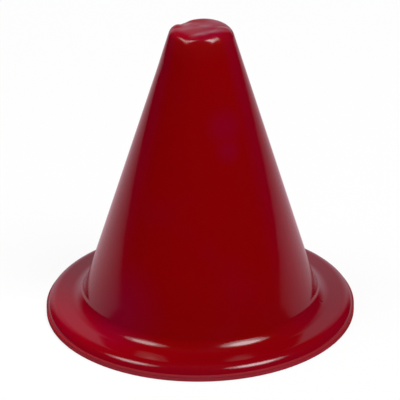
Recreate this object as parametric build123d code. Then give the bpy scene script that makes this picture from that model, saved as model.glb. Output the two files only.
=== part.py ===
from build123d import *
import math
import os

# A sports marker cone: a soft hollow skin with a closed top and a wide foot flange,
# bonded along its rim to a flat base ring, with a ballast ring shut in the flange.
# Millimetres, +Z up. The origin is the middle of the footprint, at floor level.

# Outside of the skin
base_diameter = 230.0
overall_height = 231.0
top_diameter = 43.2  # where the straight taper would reach the full height
crown_dome_radius = 80.0
crown_corner_radius = 9.0
flange_width = 26.5  # from where the taper would meet the flange out to the edge of the base
flange_slope = 2.0  # how many degrees the flange falls toward its rim
foot_fillet_radius = 12.0
flange_height = 11.2  # at the top of the rim's round
rim_round_radius = 8.5
skin_wall = 2.8

# Rim joint, from the top down: the skin's upright lip, the bond line, the base ring
lip_height = 1.5
lip_step = 0.5  # how far the lip stands out from the rounded rim above it
bond_thickness = 0.4
bond_recess = 0.4  # how far the bond line lies back from the band

# Base ring
plate_thickness = 3.1
collar_wall = 2.4
collar_setback = 0.5  # how far the collar stops below the inner end of the taper
collar_draft_angle = 3.0
floor_edge_radius = 0.6
grip_groove_count = 4
grip_groove_radius = 1.1
grip_groove_margin = 4.0  # plain width left beside the first and last groove

# Ballast ring
ballast_edge_radius = 1.2

# Clearances
collar_clearance = 0.3
ballast_clearance = 0.4

# Places that follow from the sizes
base_radius = base_diameter / 2
top_radius = top_diameter / 2
foot_radius = base_radius - flange_width
lip_bottom = plate_thickness + bond_thickness
lip_top = lip_bottom + lip_height
rim_center_z = flange_height - rim_round_radius


def rim_start_angle(radius, height):
    """The angle at which the rim's round of this radius is at this height."""
    return math.degrees(math.asin(max(height - rim_center_z, 0.0) / radius))


def on_circle(center, radius, angle):
    """The point of a circle at this angle in degrees."""
    turn = math.radians(angle)
    return center[0] + radius * math.cos(turn), center[1] + radius * math.sin(turn)


# The rim's round ends one lip step inside the footprint, level with the lip's top.
rim_reach = rim_round_radius * math.cos(math.radians(rim_start_angle(rim_round_radius, lip_top)))
rim_center = (base_radius - lip_step - rim_reach, rim_center_z)

# The flange rises from the rim's round to the foot, where the line of the taper meets it.
flange_edge = on_circle(rim_center, rim_round_radius, 90 - flange_slope)
foot_height = flange_edge[1] + (flange_edge[0] - foot_radius) * math.tan(math.radians(flange_slope))
taper_angle = math.degrees(math.atan2(foot_radius - top_radius, overall_height - foot_height))

# The foot's fillet touches both lines, so its centre lies halfway between them.
fillet_reach = foot_fillet_radius / math.sin(math.radians(45 + (taper_angle + flange_slope) / 2))
fillet_center = on_circle((foot_radius, foot_height), fillet_reach, 45 + (taper_angle - flange_slope) / 2)

# The crown's corner touches the taper from inside, and the shallow dome that closes the top.
dome_center = (0, overall_height - crown_dome_radius)
along = (-math.sin(math.radians(taper_angle)), math.cos(math.radians(taper_angle)))
beside = on_circle((top_radius, overall_height), crown_corner_radius, 180 + taper_angle)
offset = (beside[0] - dome_center[0], beside[1] - dome_center[1])
lead = offset[0] * along[0] + offset[1] * along[1]
reach = crown_dome_radius - crown_corner_radius
climb = math.sqrt(lead**2 - offset[0] ** 2 - offset[1] ** 2 + reach**2) - lead
crown_center = (beside[0] + climb * along[0], beside[1] + climb * along[1])
dome_angle = math.degrees(math.asin(crown_center[0] / reach))


def skin_line(inset, start_height):
    """The skin's half section from the rim up to the axis, moved into the wall by inset."""
    rim_radius = rim_round_radius - inset
    start_angle = rim_start_angle(rim_radius, start_height)
    rim_start = on_circle(rim_center, rim_radius, start_angle)
    rim_end = on_circle(rim_center, rim_radius, 90 - flange_slope)
    fillet_radius = foot_fillet_radius + inset
    fillet_start = on_circle(fillet_center, fillet_radius, 270 - flange_slope)
    taper_start = on_circle(fillet_center, fillet_radius, 180 + taper_angle)
    corner_radius = crown_corner_radius - inset
    taper_end = on_circle(crown_center, corner_radius, taper_angle)
    edges = [
        CenterArc(rim_center, rim_radius, start_angle, 90 - flange_slope - start_angle),
        Line(rim_end, fillet_start),
        CenterArc(fillet_center, fillet_radius, 180 + taper_angle, 90 - taper_angle - flange_slope),
        Line(taper_start, taper_end),
        CenterArc(crown_center, corner_radius, taper_angle, 90 - dome_angle - taper_angle),
        CenterArc(dome_center, crown_dome_radius - inset, 90 - dome_angle, dome_angle),
    ]
    if rim_start[1] > start_height:
        edges.append(Line((rim_start[0], start_height), rim_start))
    return edges, (rim_start[0], start_height), (0, overall_height - inset)


def turned(profile):
    """The ring or shell that a half section sweeps about the axis."""
    return revolve(Plane.XZ * profile, axis=Axis.Z)


def make_cone_shell():
    """The one-piece skin: domed top, tapered wall, foot flange, rounded rim and lip."""
    outside, round_foot, top_outside = skin_line(0, lip_top)
    inside, lip_inner, top_inside = skin_line(skin_wall, lip_bottom)
    lip_edges = Polyline(
        round_foot,
        (base_radius, lip_top),
        (base_radius, lip_bottom),
        lip_inner,
    )
    return turned(make_face([*outside, *inside, lip_edges, Line(top_outside, top_inside)]))


lip_inner_radius = skin_line(skin_wall, lip_bottom)[1][0]


def make_rim_bond():
    """The bead of adhesive under the lip, set back so that it shows as a fine dark line."""
    width = base_radius - bond_recess - lip_inner_radius
    bead = Pos(lip_inner_radius, plate_thickness) * Rectangle(width, bond_thickness, align=Align.MIN)
    return turned(bead)


# The collar reaches up to where the skin's inner taper begins, which is its narrowest place there.
taper_foot = on_circle(fillet_center, foot_fillet_radius + skin_wall, 180 + taper_angle)
collar_radius = taper_foot[0] - collar_clearance
collar_top = taper_foot[1] - collar_setback
bore_top_radius = collar_radius - collar_wall
bore_foot_radius = bore_top_radius + collar_top * math.tan(math.radians(collar_draft_angle))


def make_base_ring():
    """The flat ring that stands on the floor, with a collar that locates the skin's foot."""
    section = make_face(
        Polyline(
            (bore_foot_radius, 0),
            (base_radius, 0),
            (base_radius, plate_thickness),
            (collar_radius, plate_thickness),
            (collar_radius, collar_top),
            (bore_top_radius, collar_top),
            close=True,
        )
    )
    floor_corner = section.vertices().sort_by_distance((base_radius, 0))[0]
    section = fillet(floor_corner, floor_edge_radius)
    first_groove = bore_foot_radius + grip_groove_margin + grip_groove_radius
    last_groove = base_radius - grip_groove_margin - grip_groove_radius
    for number in range(grip_groove_count):
        share = number / max(grip_groove_count - 1, 1)
        place = first_groove + (last_groove - first_groove) * share
        section -= Pos(place, 0) * Circle(grip_groove_radius)
    return turned(section)


def make_ballast_ring():
    """The weight that lies on the base ring and fills the hollow of the flange."""
    inner_radius = collar_radius + ballast_clearance
    width = rim_center[0] - inner_radius
    height = flange_height - skin_wall - ballast_clearance - plate_thickness
    edge_radius = min(ballast_edge_radius, height / 3)
    bar = RectangleRounded(width, height, edge_radius, align=Align.MIN)
    return turned(Pos(inner_radius, plate_thickness) * bar)


pieces = {
    "cone_shell": make_cone_shell(),
    "rim_bond": make_rim_bond(),
    "base_ring": make_base_ring(),
    "ballast_ring": make_ballast_ring(),
}
os.makedirs("parts", exist_ok=True)
for name, piece in pieces.items():
    export_step(piece, f"parts/{name}.step")
print(f"taper half angle {taper_angle:.2f} degrees, bore {2 * bore_top_radius:.1f} mm across")
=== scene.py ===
# %% [markdown]
# # A sports marker cone
# The imported CAD model comes in first and stays fixed. The box of its shell gives the base radius, the
# height and the foot of the lip. The finished cone may not grow past it. All sizes below are in metres,
# written as millimetres times MM.

import math

import bpy
from mathutils import Matrix, Vector


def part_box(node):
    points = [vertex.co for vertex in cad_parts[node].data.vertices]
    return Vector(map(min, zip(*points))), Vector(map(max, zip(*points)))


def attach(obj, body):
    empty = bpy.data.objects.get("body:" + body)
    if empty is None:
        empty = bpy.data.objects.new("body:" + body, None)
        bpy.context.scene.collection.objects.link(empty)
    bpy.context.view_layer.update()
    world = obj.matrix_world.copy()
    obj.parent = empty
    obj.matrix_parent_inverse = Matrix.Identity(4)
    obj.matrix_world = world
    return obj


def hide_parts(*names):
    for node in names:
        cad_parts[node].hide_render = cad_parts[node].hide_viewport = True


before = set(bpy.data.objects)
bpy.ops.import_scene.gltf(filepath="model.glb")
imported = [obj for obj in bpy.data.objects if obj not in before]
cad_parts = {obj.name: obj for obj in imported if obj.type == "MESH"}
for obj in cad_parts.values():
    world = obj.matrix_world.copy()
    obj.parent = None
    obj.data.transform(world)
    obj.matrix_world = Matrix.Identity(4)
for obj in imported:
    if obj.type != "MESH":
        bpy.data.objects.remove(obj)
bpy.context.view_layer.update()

MM = 0.001
shell_low, shell_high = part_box("cone_shell")
base_radius = shell_high.x
overall_height = shell_high.z
lip_bottom = shell_low.z
print(f"base {2 * base_radius / MM:.0f} mm wide, cone {overall_height / MM:.0f} mm tall")

# %% [markdown]
# ## Camera
# The outline of the cone in the picture fixes the view: a long lens about three metres away, looking
# down at the cone, with the camera turned by half a degree about its own line of sight. The camera
# could be aimed with a Track To constraint, but three axes written into its matrix hold the turn as well.

# %% Place the camera
camera_elevation = math.radians(26.5)
camera_distance = 3.105
camera_roll = math.radians(-0.52)
camera_target = Vector((0.55, 0.0, 90.07)) * MM

toward_camera = Vector((0, -math.cos(camera_elevation), math.sin(camera_elevation)))
level_right = Vector((1, 0, 0))
level_up = toward_camera.cross(level_right)
picture_right = math.cos(camera_roll) * level_right + math.sin(camera_roll) * level_up
picture_up = toward_camera.cross(picture_right)

camera_data = bpy.data.cameras.new("camera")
camera_data.sensor_width = 36.0
camera_data.lens = 377.9
camera = bpy.data.objects.new("camera", camera_data)
bpy.context.collection.objects.link(camera)
turn = Matrix((picture_right, picture_up, toward_camera)).transposed()
camera.matrix_world = Matrix.Translation(camera_target + toward_camera * camera_distance) @ turn.to_4x4()
bpy.context.scene.camera = camera
print(f"camera {camera_distance:.2f} m away with a {camera_data.lens:.0f} mm lens")

# %% [markdown]
# ## The half section of the skin
# The real skin is cast in one piece: an upright lip, a rounded rim, the flange, a fillet at the foot, a
# straight taper, a rounded corner and a shallow dome that closes the top. Stacked cylinders and cones
# would show their seams, so the section is drawn once, all the way round its wall, and spun. Its lines
# and arcs follow the CAD solid, moved in by the wall for the inner side.

# %% Sizes of the section
skin_wall = 2.8 * MM
lip_height = 1.5 * MM
lip_step = 0.5 * MM
flange_width = 26.5 * MM
flange_height = 11.2 * MM
flange_slope = math.radians(2.0)
rim_round = 8.5 * MM
foot_fillet = 12.0 * MM
top_radius = 21.6 * MM
crown_dome = 80.0 * MM
crown_corner = 9.0 * MM
print(f"the skin is {skin_wall / MM:.1f} mm thick")

# %% [markdown]
# ## Where the arcs lie
# An arc that runs smoothly into its neighbours has only one place for its centre. The fillet's centre is
# as far from the flange as from the taper, and the corner's centre is found where a circle inside the
# taper also touches the dome from inside. Bevels on a rough outline would come close, but a formula
# meets the CAD solid exactly.

# %% Centres of the rim, the fillet and the crown
lip_top = lip_bottom + lip_height
rim_center_z = flange_height - rim_round
rim_reach = math.sqrt(rim_round**2 - (lip_top - rim_center_z) ** 2)
rim_center = (base_radius - lip_step - rim_reach, rim_center_z)
foot_radius = base_radius - flange_width
flange_end_r = rim_center[0] + rim_round * math.sin(flange_slope)
flange_end_z = rim_center[1] + rim_round * math.cos(flange_slope)
foot_height = flange_end_z + (flange_end_r - foot_radius) * math.tan(flange_slope)
taper_angle = math.atan2(foot_radius - top_radius, overall_height - foot_height)

foot = Vector((foot_radius, foot_height))
outward = Vector((math.cos(flange_slope), -math.sin(flange_slope)))
along = Vector((-math.sin(taper_angle), math.cos(taper_angle)))
fillet_center = foot + foot_fillet * (outward + along) / math.cos(taper_angle + flange_slope)

dome_center = (0.0, overall_height - crown_dome)
inward = Vector((-math.cos(taper_angle), -math.sin(taper_angle)))
offset = Vector((top_radius, crown_dome)) + crown_corner * inward
lead = offset.dot(along)
reach = crown_dome - crown_corner
climb = math.sqrt(lead**2 - offset.length_squared + reach**2) - lead
crown_center = Vector(dome_center) + offset + climb * along
dome_angle = math.asin(crown_center.x / reach)
print(f"the wall leans in by {math.degrees(taper_angle):.2f} degrees")

# %% Lines and arcs as points
rim_pieces = 14
flange_pieces = 8
fillet_pieces = 24
taper_pieces = 60
corner_pieces = 14
dome_pieces = 20


def line_points(start, end, pieces):
    """Evenly spaced points after the start of a line, up to its end."""
    shares = [(number + 1) / pieces for number in range(pieces)]
    return [(start[0] + (end[0] - start[0]) * s, start[1] + (end[1] - start[1]) * s) for s in shares]


def arc_points(center, radius, start, end, pieces):
    """Evenly spaced points after the start of an arc, up to its end."""
    angles = [start + (end - start) * (number + 1) / pieces for number in range(pieces)]
    return [(center[0] + radius * math.cos(a), center[1] + radius * math.sin(a)) for a in angles]


def wall_points(inset, start_height):
    """The section from the rim's lower end to the axis, moved into the wall by inset."""
    radius = rim_round - inset
    start = math.asin(max(start_height - rim_center_z, 0.0) / radius)
    points = [(rim_center[0] + radius * math.cos(start), rim_center[1] + radius * math.sin(start))]
    points += arc_points(rim_center, radius, start, math.pi / 2 - flange_slope, rim_pieces)
    fillet = foot_fillet + inset
    fillet_start = 1.5 * math.pi - flange_slope
    flange_end = arc_points(fillet_center, fillet, 0.0, fillet_start, 1)[0]
    points += line_points(points[-1], flange_end, flange_pieces)
    points += arc_points(fillet_center, fillet, fillet_start, math.pi + taper_angle, fillet_pieces)
    corner = crown_corner - inset
    dome_start = math.pi / 2 - dome_angle
    taper_end = arc_points(crown_center, corner, 0.0, taper_angle, 1)[0]
    points += line_points(points[-1], taper_end, taper_pieces)
    points += arc_points(crown_center, corner, taper_angle, dome_start, corner_pieces)
    points += arc_points(dome_center, crown_dome - inset, dome_start, math.pi / 2, dome_pieces)
    return points


outer_line = wall_points(0.0, lip_top)
inner_line = wall_points(skin_wall, lip_bottom)
lip_line = [(base_radius, lip_top), (base_radius, lip_bottom)]
section = outer_line[::-1] + lip_line + inner_line
print(f"the section has {len(section)} points")

# %% [markdown]
# ## Spinning the skin
# A small plane is merged to one point, the point is extruded along the section, and the chain is spun
# once round the upright axis. The ends lie on the axis, so spin leaves many points on top of each other
# there and at its seam. They are merged before the normals are made to point outwards.

# %% Spin the section
def start_point(name, place):
    """A new mesh object with a single vertex, left in edit mode."""
    bpy.ops.object.select_all(action="DESELECT")
    bpy.ops.mesh.primitive_plane_add(size=MM)
    point = bpy.context.object
    point.name = name
    bpy.ops.object.mode_set(mode="EDIT")
    bpy.ops.mesh.merge(type="CENTER")
    bpy.ops.transform.translate(value=place)
    return point


spin_steps = 256
sharp_angle = math.radians(40)
skin = start_point("skin", (section[0][0], 0, section[0][1]))
for (r0, z0), (r1, z1) in zip(section, section[1:]):
    bpy.ops.mesh.extrude_region_move(TRANSFORM_OT_translate={"value": (r1 - r0, 0, z1 - z0)})
bpy.ops.mesh.select_all(action="SELECT")
bpy.ops.mesh.spin(steps=spin_steps, angle=2 * math.pi, center=(0, 0, 0), axis=(0, 0, 1))
bpy.ops.mesh.select_all(action="SELECT")
bpy.ops.mesh.remove_doubles(threshold=0.01 * MM)
bpy.ops.mesh.normals_make_consistent(inside=False)
bpy.ops.object.mode_set(mode="OBJECT")
bpy.ops.object.shade_smooth_by_angle(angle=sharp_angle)
print(f"skin: {len(skin.data.vertices)} points, {len(skin.data.polygons)} faces")

# %% [markdown]
# ## A soft skin never stands quite straight
# The cone leans a little to one side of its base. Shear needs a window, so the top is moved sideways by
# proportional editing, with a linear falloff as long as the cone is tall: the top goes the whole way,
# the middle half of it, and the flange stays where it is.

# %% Lean the cone
def select_points(piece, wanted):
    """Selects the vertices for which wanted(place) is true, and enters edit mode."""
    bpy.ops.object.mode_set(mode="EDIT")
    bpy.ops.mesh.select_mode(type="VERT")
    bpy.ops.mesh.select_all(action="DESELECT")
    bpy.ops.object.mode_set(mode="OBJECT")
    for vertex in piece.data.vertices:
        vertex.select = wanted(vertex.co)
    bpy.ops.object.mode_set(mode="EDIT")


def pull(piece, wanted, move, reach, falloff="SMOOTH"):
    """Moves some points of a piece, and what lies within reach of them by less and less."""
    select_points(piece, wanted)
    bpy.ops.transform.translate(
        value=move,
        use_proportional_edit=True,
        proportional_edit_falloff=falloff,
        proportional_size=reach,
    )
    bpy.ops.object.mode_set(mode="OBJECT")


top_lean = 2.6 * MM
pull(skin, lambda p: p.z > overall_height - skin_wall, (top_lean, 0, 0), overall_height, "LINEAR")
print(f"the top leans {top_lean / MM:.1f} mm to the right")

# %% [markdown]
# ## Dents of a used cone
# The top of this soft cone has been pushed in. Its face tilts back, its front edge is raised and kinked,
# and its left shoulder stands up beside a notch. Sculpt brushes would be the natural tool, but they need
# a window. Each dent is a pull with proportional editing instead: the points near a place are moved, and
# their neighbours follow by less and less. A row gives the place, the move and the width, all in
# millimetres.

# %% Press in the top
def press(piece, place, grip, move, width):
    """Moves the points within grip of a place on the skin, and softly what lies within the width."""
    middle = Vector(place) * MM
    pull(piece, lambda p: (p - middle).length < grip * MM, Vector(move) * MM, width * MM)


dent_grip = 3
dents = [
    ((6.9, -19.1, 228.3), (0.98, 2.15, 2.01), 13.2),
    ((-4.1, 6.3, 230.5), (2.58, 1.26, -1.94), 16.0),
    ((-23.0, 0.0, 218.3), (0.18, -1.51, 2.26), 22.3),
    ((0.8, -11.5, 230.2), (-0.57, -3.09, -0.92), 11.0),
    ((-15.6, -15.2, 224.1), (-0.07, 1.38, 1.14), 5.8),
    ((19.0, -6.4, 229.0), (0.86, 1.6, 0.5), 6.7),
    ((6.6, -22.0, 226.1), (0.43, -0.74, -0.12), 6.9),
    ((18.0, -12.1, 228.3), (-0.02, 0.03, 0.49), 8.0),
    ((-11.5, 15.0, 227.5), (0.0, 0.0, -0.9), 6.0),
    ((-17.0, 7.5, 226.0), (0.2, 0.0, 0.8), 6.0),
]
for place, move, width in dents:
    press(skin, place, dent_grip, move, width)
print(f"the top is dented in {len(dents)} places")

# %% [markdown]
# ## A pit beside the foot
# A small dark pit lies on the right, close to the foot, as a bubble in a casting leaves one. A bump in
# the material could fake it, but the mesh would stay smooth there. The faces of the skin are larger than
# the pit, so those around it are subdivided first, and the middle is then pressed in as the dents are.

# %% Press in the pit
pit_place = (90.0, -17.0, 13.4)
pit_patch = 5.0
pit_grip = 0.5
pit_move = (-0.3, 0.05, -0.6)
pit_width = 1.5

pit_middle = Vector(pit_place) * MM
select_points(skin, lambda p: (p - pit_middle).length < pit_patch * MM)
bpy.ops.mesh.subdivide(number_cuts=4)
bpy.ops.object.mode_set(mode="OBJECT")
press(skin, pit_place, pit_grip, pit_move, pit_width)
print(f"the pit is {2 * pit_width:.0f} mm wide")

# %% [markdown]
# ## A fuller foot at the front
# At the front the foot of this cone swells out by a millimetre, which makes the highlights there thick
# in the middle. A pull spreads evenly round a point and can't follow the bend of the foot. A Displace
# modifier can: a vertex group says how far each point goes, from nothing at the sides, up the wall and
# out on the flange to the whole way in the bend.

# %% Swell the foot
foot_bulge = 1.0 * MM
bulge_low, bulge_high = 16 * MM, 32 * MM
bulge_inside, bulge_outside = 92 * MM, 106 * MM
side_share, front_share = 0.3, 0.8


def part_of_way(value, gone, full):
    """0 where a value is gone, 1 where it is full, and evenly between."""
    return min(max((value - gone) / (full - gone), 0.0), 1.0)


bulge = skin.vertex_groups.new(name="foot_bulge")
for vertex in skin.data.vertices:
    if vertex.co.z > bulge_high:
        continue
    from_axis = vertex.co.xy.length
    front = part_of_way(-vertex.co.y / from_axis, side_share, front_share)
    front = front * front * (3 - 2 * front)
    low = part_of_way(vertex.co.z, bulge_high, bulge_low) ** 2
    inner = part_of_way(from_axis, bulge_outside, bulge_inside)
    bulge.add([vertex.index], front * low * inner, "REPLACE")
bpy.ops.object.modifier_add(type="DISPLACE")
wider = skin.modifiers[-1]
wider.direction = "Y"
wider.strength = -foot_bulge
wider.mid_level = 0.0
wider.vertex_group = bulge.name
bpy.ops.object.modifier_apply(modifier=wider.name)
print(f"the foot swells by {foot_bulge / MM:.1f} mm at the front")

# %% [markdown]
# ## Finishes
# The skin is glossy soft vinyl, red all through. A flat red would look like a paint sample, so colour
# and gloss drift a little from place to place, by noise that reads Object coordinates and so follows the
# piece. A picture of real vinyl could be wrapped round it, but it would stretch at the top.

# %% Patterns for materials
def new_material(name):
    """A material with its nodes, and the shader that they feed."""
    material = bpy.data.materials.new(name)
    material.use_nodes = True
    return material, material.node_tree.nodes["Principled BSDF"]


def place_on(material):
    """The place on the piece, in its own coordinates."""
    return material.node_tree.nodes.new("ShaderNodeTexCoord").outputs["Object"]


def noise(material, scale, detail=3.0):
    """A noise pattern with this many bumps to the metre."""
    pattern = material.node_tree.nodes.new("ShaderNodeTexNoise")
    pattern.inputs["Scale"].default_value = scale
    pattern.inputs["Detail"].default_value = detail
    material.node_tree.links.new(place_on(material), pattern.inputs["Vector"])
    return pattern.outputs["Fac"]


def value_range(material, value, low, high):
    """A pattern's middle values, spread from low to high."""
    spread = material.node_tree.nodes.new("ShaderNodeMapRange")
    spread.inputs["From Min"].default_value = 0.3
    spread.inputs["From Max"].default_value = 0.7
    spread.inputs["To Min"].default_value = low
    spread.inputs["To Max"].default_value = high
    material.node_tree.links.new(value, spread.inputs["Value"])
    return spread.outputs["Result"]


def colour_ramp(material, value, stops):
    """A colour for each value, from (place, colour) stops."""
    ramp = material.node_tree.nodes.new("ShaderNodeValToRGB")
    for element, (place, colour) in zip(ramp.color_ramp.elements, stops):
        element.position = place
        element.color = (*colour, 1)
    material.node_tree.links.new(value, ramp.inputs["Fac"])
    return ramp.outputs["Color"]


# %% [markdown]
# ## A red painted with a bluish sheen in places
# The red is painted bluer in two spots high on the right, over a wide patch low on the left, along both
# sides, near the floor and on the crown. This is painted sheen: it stands in for the bluish tint of the
# light that the gloss mirrors beside its highlights and strips. A faint noise also varies the tone at
# random. Vertex paint could hold that, but fades by place are easy to move and need no finer mesh. The
# bluest of all the fades counts.

# %% Fades by place
def axes(material):
    """The place on the piece as separate X, Y and Z."""
    parts = material.node_tree.nodes.new("ShaderNodeSeparateXYZ")
    material.node_tree.links.new(place_on(material), parts.inputs[0])
    return parts.outputs


def combine(tree, operation, first, second=None):
    """One maths node on one or two values."""
    node = tree.nodes.new("ShaderNodeMath")
    node.operation = operation
    tree.links.new(first, node.inputs[0])
    if second is not None:
        tree.links.new(second, node.inputs[1])
    return node.outputs[0]


def add_scaled(tree, value, times, start):
    """A value times a number, added to a start."""
    node = tree.nodes.new("ShaderNodeMath")
    node.operation = "MULTIPLY_ADD"
    tree.links.new(value, node.inputs[0])
    node.inputs[1].default_value = times
    tree.links.new(start, node.inputs[2])
    return node.outputs[0]


def fade(tree, value, full, gone, kind="LINEAR", most=1.0):
    """The most where a value is full, falling to 0 where it is gone."""
    node = tree.nodes.new("ShaderNodeMapRange")
    node.interpolation_type = kind
    node.inputs["From Min"].default_value = full
    node.inputs["From Max"].default_value = gone
    node.inputs["To Min"].default_value = most
    node.inputs["To Max"].default_value = 0.0
    tree.links.new(value, node.inputs["Value"])
    return node.outputs["Result"]


def near_place(material, place, reach, most=1.0):
    """The most at a place given in millimetres, falling softly to 0 at this reach from it."""
    tree = material.node_tree
    apart = tree.nodes.new("ShaderNodeVectorMath")
    apart.operation = "DISTANCE"
    tree.links.new(place_on(material), apart.inputs[0])
    apart.inputs[1].default_value = Vector(place) * MM
    return fade(tree, apart.outputs["Value"], 0.0, reach * MM, "SMOOTHSTEP", most)


# %% Where the skin is bluer
gloss_vinyl, shader = new_material("gloss_vinyl")
tree = gloss_vinyl.node_tree
place = axes(gloss_vinyl)
from_back = combine(tree, "ABSOLUTE", combine(tree, "ARCTAN2", place["X"], place["Y"]))
# These fades paint a bluish sheen into the red, in place of reflected light.
painted_sheen_places = [
    near_place(gloss_vinyl, (19, -36, 167), 20, 0.7),
    near_place(gloss_vinyl, (21, -40, 150), 14, 0.7),
    near_place(gloss_vinyl, (-64, -56, 30), 52),
    fade(tree, from_back, math.radians(118), math.radians(142), "SMOOTHSTEP", 0.5),
    fade(tree, place["Z"], -4 * MM, 14 * MM),
    fade(tree, place["Z"], 231 * MM, 227 * MM),
]
bluer = value_range(gloss_vinyl, noise(gloss_vinyl, 18.0, detail=2.0), -0.3, 0.2)
for fading in painted_sheen_places:
    bluer = combine(tree, "MAXIMUM", bluer, fading)
print(f"the red turns bluer in {len(painted_sheen_places)} places")

# %% [markdown]
# ## The colour of the skin and its lip
# The upright lip has the paler, duller look of the base ring's edge below it. It could be a second
# material on its own faces, but one material with a fade just above the lip keeps the skin in one slot.
# The lip's extra red is added to the red of the skin.

# %% Colour of the skin
# The first red is the vinyl's own; the second is the painted bluish sheen.
skin_reds = [(0.0, (0.197, 0.0001, 0.0006)), (1.0, (0.186, 0.0001, 0.013))]
lip_reds = [(0.0, (0.0, 0.0, 0.0)), (1.0, (0.13, 0.0019, 0.003))]
dull = fade(tree, place["Z"], lip_top + 0.1 * MM, lip_top + 0.4 * MM)
both = tree.nodes.new("ShaderNodeVectorMath")
tree.links.new(colour_ramp(gloss_vinyl, bluer, skin_reds), both.inputs[0])
tree.links.new(colour_ramp(gloss_vinyl, dull, lip_reds), both.inputs[1])
tree.links.new(both.outputs["Vector"], shader.inputs["Base Color"])
print("gloss_vinyl has its reds")

# %% [markdown]
# ## The gloss of the skin
# The wall mirrors sharply. The crown looks worn, the foot a little scuffed and the lip dull, so each of
# them adds to the roughness there. Shallow waves, as a cast surface has, make the mirrored edges wander.
# They are too shallow to model, so a bump of about a tenth of a millimetre gives them.

# %% Gloss of the skin
def bump(material, height, depth):
    """A bump from a pattern, with its depth in metres."""
    node = material.node_tree.nodes.new("ShaderNodeBump")
    node.inputs["Strength"].default_value = 1.0
    node.inputs["Distance"].default_value = depth
    material.node_tree.links.new(height, node.inputs["Height"])
    return node.outputs["Normal"]


worn = fade(tree, place["Z"], 226 * MM, 212 * MM)
scuffed = fade(tree, place["Z"], 24 * MM, 36 * MM)
rough = value_range(gloss_vinyl, noise(gloss_vinyl, 30.0), 0.055, 0.085)
for where, more in ((worn, 0.11), (scuffed, 0.03), (dull, 0.34)):
    rough = add_scaled(tree, where, more, rough)
tree.links.new(rough, shader.inputs["Roughness"])
waves = bump(gloss_vinyl, noise(gloss_vinyl, 35.0, detail=4.0), 0.12 * MM)
tree.links.new(waves, shader.inputs["Normal"])
skin.data.materials.append(gloss_vinyl)
print("gloss_vinyl on the skin")

# %% [markdown]
# ## Base ring, bond and ballast
# The base ring is made as the same vinyl with a satin face, the bond as a bead of adhesive and the
# ballast as dark filled rubber. The bond's colour is painted pale, to fill in the shade of its recess
# under the lip. Only the ring's edge can be seen, so the rest is a sound guess. The CAD nodes are good as
# they are and only get materials. The three finishes differ in colour, roughness and grain, so one helper
# makes them all.

# %% Satin base, bond line and ballast
def mottled(name, stops, colour_scale, rough_scale, rough_low, rough_high):
    """A material whose colour and roughness drift a little from place to place."""
    material, shader = new_material(name)
    links = material.node_tree.links
    links.new(colour_ramp(material, noise(material, colour_scale), stops), shader.inputs["Base Color"])
    rough = value_range(material, noise(material, rough_scale), rough_low, rough_high)
    links.new(rough, shader.inputs["Roughness"])
    return material, shader


def add_grain(material, shader, scale, depth):
    """A fine bump with this many grains to the metre."""
    grain = bump(material, noise(material, scale), depth)
    material.node_tree.links.new(grain, shader.inputs["Normal"])


def dress_node(node, material):
    """Gives a CAD node this material alone."""
    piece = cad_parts[node]
    piece.data.materials.clear()
    piece.data.materials.append(material)


base_reds = [(0.35, (0.29, 0.0015, 0.013)), (0.65, (0.32, 0.002, 0.017))]
satin_vinyl, shader = mottled("satin_vinyl", base_reds, 60.0, 120.0, 0.38, 0.5)
shader.inputs["Specular IOR Level"].default_value = 0.38
add_grain(satin_vinyl, shader, 900.0, 0.03 * MM)
dress_node("base_ring", satin_vinyl)

# Painted light: the bond gets a pale red, far paler than adhesive, to fill in the shade of its recess under
# the lip.
bond_reds_painted_light = [(0.35, (0.52, 0.02, 0.045)), (0.65, (0.58, 0.025, 0.055))]
bond_line, shader = mottled("bond_line", bond_reds_painted_light, 200.0, 90.0, 0.35, 0.6)
dress_node("rim_bond", bond_line)

ballast_greys = [(0.35, (0.03, 0.03, 0.033)), (0.65, (0.06, 0.06, 0.065))]
ballast_rubber, shader = mottled("ballast_rubber", ballast_greys, 500.0, 300.0, 0.7, 0.9)
add_grain(ballast_rubber, shader, 700.0, 0.15 * MM)
dress_node("ballast_ring", ballast_rubber)
print("satin_vinyl, bond_line and ballast_rubber on the CAD nodes")

# %% [markdown]
# ## Studio
# A glossy piece is drawn by what it mirrors, so the studio matters as much as the paint. The table is
# white paper that glows where it is seen, which keeps the background white without more light on the
# cone. What the cone mirrors is set by cards that only reflections see, as a photographer sets them.

# %% Paper for the table
def seen_or_mirrored(tree):
    """1 for what the camera sees straight, in a mirror or through glass, and 0 for other light."""
    path = tree.nodes.new("ShaderNodeLightPath").outputs
    seen = combine(tree, "MAXIMUM", path["Is Camera Ray"], path["Is Glossy Ray"])
    return combine(tree, "MAXIMUM", seen, path["Is Transmission Ray"])


def paper(name, grey, glow, share):
    """Matt paper of this grey that shows a share of an even glow where it is seen."""
    material = bpy.data.materials.new(name)
    material.use_nodes = True
    tree = material.node_tree
    tree.nodes.clear()
    matt = tree.nodes.new("ShaderNodeBsdfDiffuse")
    matt.inputs["Color"].default_value = (grey, grey, grey, 1)
    light = tree.nodes.new("ShaderNodeEmission")
    light.inputs["Color"].default_value = (*glow, 1)
    amount = tree.nodes.new("ShaderNodeMath")
    amount.operation = "MULTIPLY"
    amount.inputs[1].default_value = share
    tree.links.new(seen_or_mirrored(tree), amount.inputs[0])
    mixed = tree.nodes.new("ShaderNodeMixShader")
    tree.links.new(amount.outputs[0], mixed.inputs["Fac"])
    tree.links.new(matt.outputs[0], mixed.inputs[1])
    tree.links.new(light.outputs[0], mixed.inputs[2])
    output = tree.nodes.new("ShaderNodeOutputMaterial")
    tree.links.new(mixed.outputs[0], output.inputs["Surface"])
    material.cycles.emission_sampling = "NONE"
    return material


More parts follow.
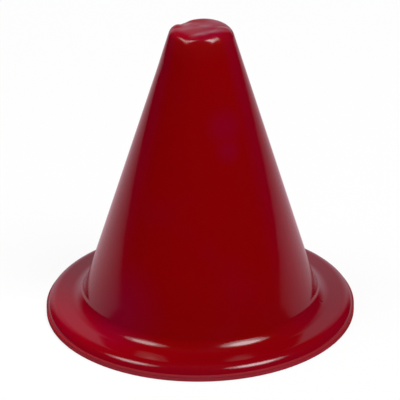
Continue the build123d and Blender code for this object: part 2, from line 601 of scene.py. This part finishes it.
def disc(name, radius, drop):
    """A flat round sheet this far below the foot of the cone."""
    bpy.ops.object.select_all(action="DESELECT")
    bpy.ops.mesh.primitive_circle_add(vertices=128, radius=radius, fill_type="NGON", location=(0, 0, -drop))
    sheet = bpy.context.object
    sheet.name = name
    return sheet


table = disc("table", 6.0, 0.3 * MM)
table.data.materials.append(paper("table_paper", 0.8, (1.0, 1.0, 1.0), 0.88))
table.visible_glossy = False
print("white table")

# %% [markdown]
# ## A grey card for the light strips
# A pale strip runs down each side of the wall, ends sharply toward the middle and fades toward the
# bottom. It is the mirror image of the table to the left and the right. A grey card under the cone glows
# there: less and less toward its sides, where it stops at an edge, and toward the front. The right edge
# is slanted, as its strip is. Close to the base the card goes dark, as paper does in a contact shadow.

# %% Lay the grey card
def only_mirrored(sheet):
    """Hides a card from everything but reflections."""
    sheet.visible_camera = False
    sheet.visible_diffuse = False
    sheet.visible_transmission = False
    sheet.visible_shadow = False


def glow_by(material, first, *others):
    """Lets a sheet glow by the product of some values between 0 and 1."""
    tree = material.node_tree
    for other in others:
        first = combine(tree, "MULTIPLY", first, other)
    tree.links.new(first, tree.nodes["Emission"].inputs["Strength"])


card_slant = 0.47
shadow_width = 28 * MM
grey_card = disc("grey_card", 1.0, 0.1 * MM)
grey_paper = paper("grey_paper", 0.4, (0.70, 0.50, 0.555), 1.0)
grey_card.data.materials.append(grey_paper)
tree = grey_paper.node_tree
place = axes(grey_paper)
away = tree.nodes.new("ShaderNodeVectorMath")
away.operation = "LENGTH"
tree.links.new(place_on(grey_paper), away.inputs[0])
left_fade = fade(tree, place["X"], -0.155, -1.13)
left_edge = fade(tree, place["X"], -0.91, -0.94)
right_fade = fade(tree, place["X"], 0.105, 0.99)
right_edge = fade(tree, add_scaled(tree, place["Y"], -card_slant, place["X"]), 0.66, 0.69)
front_fade = fade(tree, place["Y"], 0.16, -0.365)
contact_fade = fade(tree, away.outputs["Value"], base_radius + shadow_width, base_radius)
glow_by(grey_paper, left_fade, left_edge, right_fade, right_edge, front_fade, contact_fade)
only_mirrored(grey_card)
print("grey card under the cone")

# %% [markdown]
# ## A pale panel behind the cone
# The flange and the top lie nearly flat, so they mirror what stands behind the cone. A curved panel there
# gives them an even pale sheen. It is the back of a large open cylinder, and it glows less toward its
# ends and its upper edge, so that the sheen has no hard border.

# %% Stand the panel up
panel_radius = 1.4
panel_height = 1.6
panel_front = 0.9
bpy.ops.object.select_all(action="DESELECT")
bpy.ops.mesh.primitive_cylinder_add(
    vertices=128,
    radius=panel_radius,
    depth=panel_height,
    end_fill_type="NOTHING",
    location=(0, 0, panel_height / 2),
)
panel = bpy.context.object
panel.name = "back_panel"
bpy.ops.object.transform_apply(location=True, rotation=False, scale=False)
bpy.ops.object.mode_set(mode="EDIT")
bpy.ops.mesh.select_all(action="SELECT")
bpy.ops.mesh.bisect(plane_co=(0, panel_front, 0), plane_no=(0, 1, 0), clear_inner=True)
bpy.ops.object.mode_set(mode="OBJECT")
panel_paper = paper("panel_paper", 0.6, (0.55, 0.515, 0.60), 1.0)
panel.data.materials.append(panel_paper)
tree = panel_paper.node_tree
place = axes(panel_paper)
left_fade = fade(tree, place["X"], -0.62, -1.0, "SMOOTHSTEP")
right_fade = fade(tree, place["X"], 0.58, 0.92, "SMOOTHSTEP")
top_fade = fade(tree, place["Z"], 0.30, 1.48, "SMOOTHSTEP")
glow_by(panel_paper, left_fade, right_fade, top_fade)
only_mirrored(panel)
print(f"panel {panel_height:.1f} m tall behind the cone")

# %% [markdown]
# ## Soft boxes and fill
# Two oval soft boxes, one on each side, draw the highlights on the crown, the foot and the rim. A smaller
# core in front of each makes them brighter in the middle. One large lamp would be simpler, but it would
# leave one flat highlight. Wide lamps that reflections don't see bring the red up to its own level.

# %% Hang the soft boxes
cone_middle = Vector((0, 0, 0.1))


def aimed_at(target, toward, far):
    """The place and turn of a lamp this far from a target in one direction, shining back at it."""
    toward = Vector(toward).normalized()
    turn = toward.to_track_quat("Z", "Y").to_matrix().to_4x4()
    return Matrix.Translation(target + toward * far) @ turn


def soft_box(name, toward, far, size, radiance, mirrored=True):
    """An oval soft box this far off in one direction, aimed at the middle of the cone."""
    data = bpy.data.lights.new(name, "AREA")
    data.shape = "ELLIPSE"
    data.size, data.size_y = size
    data.energy = radiance * math.pi * math.pi * size[0] * size[1] / 4
    lamp = bpy.data.objects.new(name, data)
    lamp.matrix_world = aimed_at(cone_middle, toward, far)
    lamp.visible_glossy = mirrored
    bpy.context.collection.objects.link(lamp)


left_side = (-0.55, -0.16, 0.82)
soft_box("left_box", left_side, 3.0, (1.7, 1.36), 2.0)
soft_box("left_core", left_side, 2.9, (1.0, 0.8), 4.4)
soft_box("left_fill", left_side, 3.1, (2.0, 2.0), 1.1, mirrored=False)
right_side = (0.487, -0.345, 0.803)
soft_box("right_box", right_side, 3.0, (1.9, 1.56), 3.0)
soft_box("right_core", right_side, 2.9, (1.2, 0.9), 7.0)
soft_box("right_fill", right_side, 3.1, (2.0, 2.0), 1.8, mirrored=False)
soft_box("top_fill", (0.0, 0.0, 1.0), 3.1, (2.0, 2.0), 1.5, mirrored=False)
print("two soft boxes with cores, and three fill lamps")

# %% [markdown]
# ## A spot on the left of the flange
# The left of the flange is a brighter red than the rest. A stronger fill would lift the whole cone, so a
# narrow spot with a soft edge is aimed at that place from almost straight above.

# %% Aim the spot
spot_place = Vector((-92, -42, 11)) * MM
spot_reach = 85 * MM
spot_far = 3.0
spot_data = bpy.data.lights.new("flange_spot", "SPOT")
spot_data.energy = 240.0
spot_data.spot_size = 2 * math.atan(spot_reach / spot_far)
spot_data.spot_blend = 1.0
spot_data.shadow_soft_size = 0.05
spot = bpy.data.objects.new("flange_spot", spot_data)
spot.matrix_world = aimed_at(spot_place, (0.2, 0.13, 0.97), spot_far)
spot.visible_glossy = False
bpy.context.collection.objects.link(spot)
print(f"spot {2 * spot_reach / MM:.0f} mm wide on the flange")

# %% [markdown]
# ## The room
# An even grey light from all round fills the shadows. Mirrored as it is, it would veil the gloss, so
# whatever is seen or mirrored of the room is nearly black.

# %% Fill the room
world = bpy.data.worlds.new("studio")
bpy.context.scene.world = world
world.use_nodes = True
tree = world.node_tree
room = tree.nodes["Background"]
room.inputs["Color"].default_value = (0.003, 0.0, 0.006, 1)
fill = tree.nodes.new("ShaderNodeBackground")
fill.inputs["Color"].default_value = (0.37, 0.37, 0.37, 1)
choose = tree.nodes.new("ShaderNodeMixShader")
tree.links.new(seen_or_mirrored(tree), choose.inputs["Fac"])
tree.links.new(fill.outputs[0], choose.inputs[1])
tree.links.new(room.outputs[0], choose.inputs[2])
tree.links.new(choose.outputs[0], tree.nodes["World Output"].inputs["Surface"])
world.cycles.sampling_method = "NONE"
bpy.context.scene.view_settings.view_transform = "Standard"
print("an even fill all round")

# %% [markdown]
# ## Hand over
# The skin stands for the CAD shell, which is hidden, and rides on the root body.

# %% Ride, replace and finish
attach(skin, "root")
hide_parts("cone_shell")
